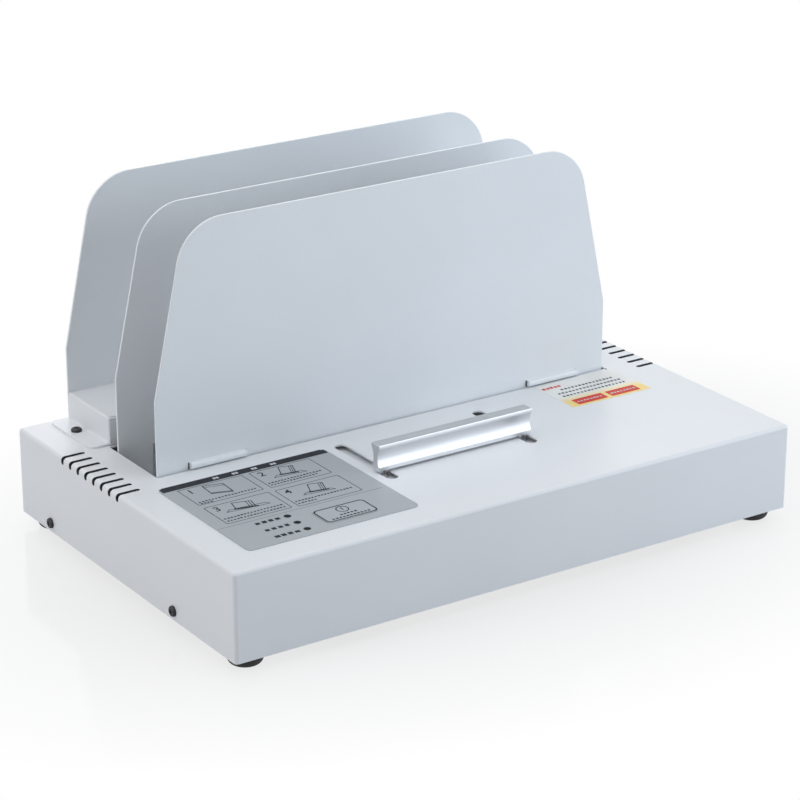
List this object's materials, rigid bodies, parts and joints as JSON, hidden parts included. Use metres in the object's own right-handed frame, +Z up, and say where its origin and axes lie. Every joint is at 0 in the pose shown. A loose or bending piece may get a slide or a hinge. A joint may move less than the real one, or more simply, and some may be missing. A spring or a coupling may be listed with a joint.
{
  "type": "thermal binding machine",
  "caption": "Desktop thermal binder: folded steel housing, hot throat closed by a sliding upright clamp plate with a bar handle, and a cooling tray behind.",
  "frame": {"origin": "on the table, under the middle of the whole machine's box", "axes": "+X to the machine's right as its user sees it, +Y from the front to the rear, +Z up"},
  "size_m": [0.404, 0.265, 0.2175],
  "materials": {
    "cover_paint": "fine powder coat, cool light grey",
    "plate_paint": "fine powder coat, pale blue grey",
    "base_zinc": "zinc-plated sheet",
    "plated_steel": "bright zinc plate",
    "black_screw": "black oxide",
    "foot_rubber": "matt black rubber",
    "handle_aluminium": "brushed and clear anodised",
    "ground_steel": "ground and polished rod",
    "film": "printed satin film",
    "key_film": "printed satin film",
    "lamp": "unlit lamp",
    "black_plastic": "moulded black plastic",
    "nylon": "natural nylon",
    "board": "glass-fibre board with green mask",
    "heat_aluminium": "milled aluminium",
    "mica": "mica laminate over heating wire",
    "ceramic": "glazed white ceramic",
    "bakelite": "black phenolic",
    "coil_steel": "varnished laminations",
    "relay_blue": "moulded blue case",
    "terminal_green": "moulded green",
    "fuse_body": "plated clips",
    "wire_brown": "insulated wire",
    "wire_white": "glass-sleeved wire",
    "ribbon_grey": "flat cable",
    "brass": "turned brass",
    "paper": "plain coated paper"
  },
  "bodies": {
    "housing": {"top_cover": "cover_paint", "base_tray": "base_zinc", "rubber_feet": "foot_rubber", "foot_screws": "plated_steel", "cover_screws": "black_screw", "cooling_tray": "cover_paint", "cooling_tray_screws": "black_screw", "rear_plate": "plate_paint", "rear_plate_screws": "plated_steel", "middle_plate": "plate_paint", "middle_plate_screws": "plated_steel", "throat_liner": "base_zinc", "guide_rods": "ground_steel", "rod_brackets": "base_zinc", "control_film": "film", "key_switch": "black_plastic", "control_board": "board", "board_posts": "brass", "indicator_lamps": "lamp", "buzzer": "black_plastic", "board_socket": "nylon", "heating_plate": "heat_aluminium", "heater_elements": "mica", "heater_insulators": "ceramic", "heater_screws": "plated_steel", "heater_shield": "base_zinc", "thermostat": "bakelite", "thermal_fuse": "plated_steel", "power_board": "board", "power_board_posts": "brass", "transformer": "coil_steel", "heater_relay": "relay_blue", "capacitors": "black_plastic", "terminal_block": "terminal_green", "mains_fuse": "fuse_body", "mains_inlet": "black_plastic", "inlet_pins": "plated_steel", "inlet_screws": "plated_steel", "switch_housing": "black_plastic", "mains_leads": "wire_brown", "heater_leads": "wire_white", "control_ribbon": "ribbon_grey", "vent_baffles": "black_plastic", "paper_label": "paper"},
    "clamp": {"front_plate": "plate_paint", "front_plate_nuts": "plated_steel", "clamp_carriage": "cover_paint", "slide_bushes": "nylon", "bush_screws": "plated_steel", "handle": "handle_aluminium", "handle_bolts": "plated_steel", "handle_spacers": "plated_steel"},
    "key": {"start_key": "key_film", "switch_plunger": "black_plastic"},
    "power_rocker": {"rocker": "black_plastic"}
  },
  "joints": [
    {"name": "clamp_slide", "type": "slide", "parent": "housing", "child": "clamp", "axis": [0, 1, 0], "range_m": [0, 0.045]},
    {"name": "start_key_press", "type": "slide", "parent": "housing", "child": "key", "axis": [0, 0, -1], "range_m": [0, 0.0004], "stiffness_N_per_m": 3000, "springref_m": -0.0003},
    {"name": "power_rocker_tilt", "type": "hinge", "parent": "housing", "child": "power_rocker", "pos_m": [0.104, 0.12726, 0.0365], "axis": [1, 0, 0], "range_deg": [0, 16]}
  ]
}
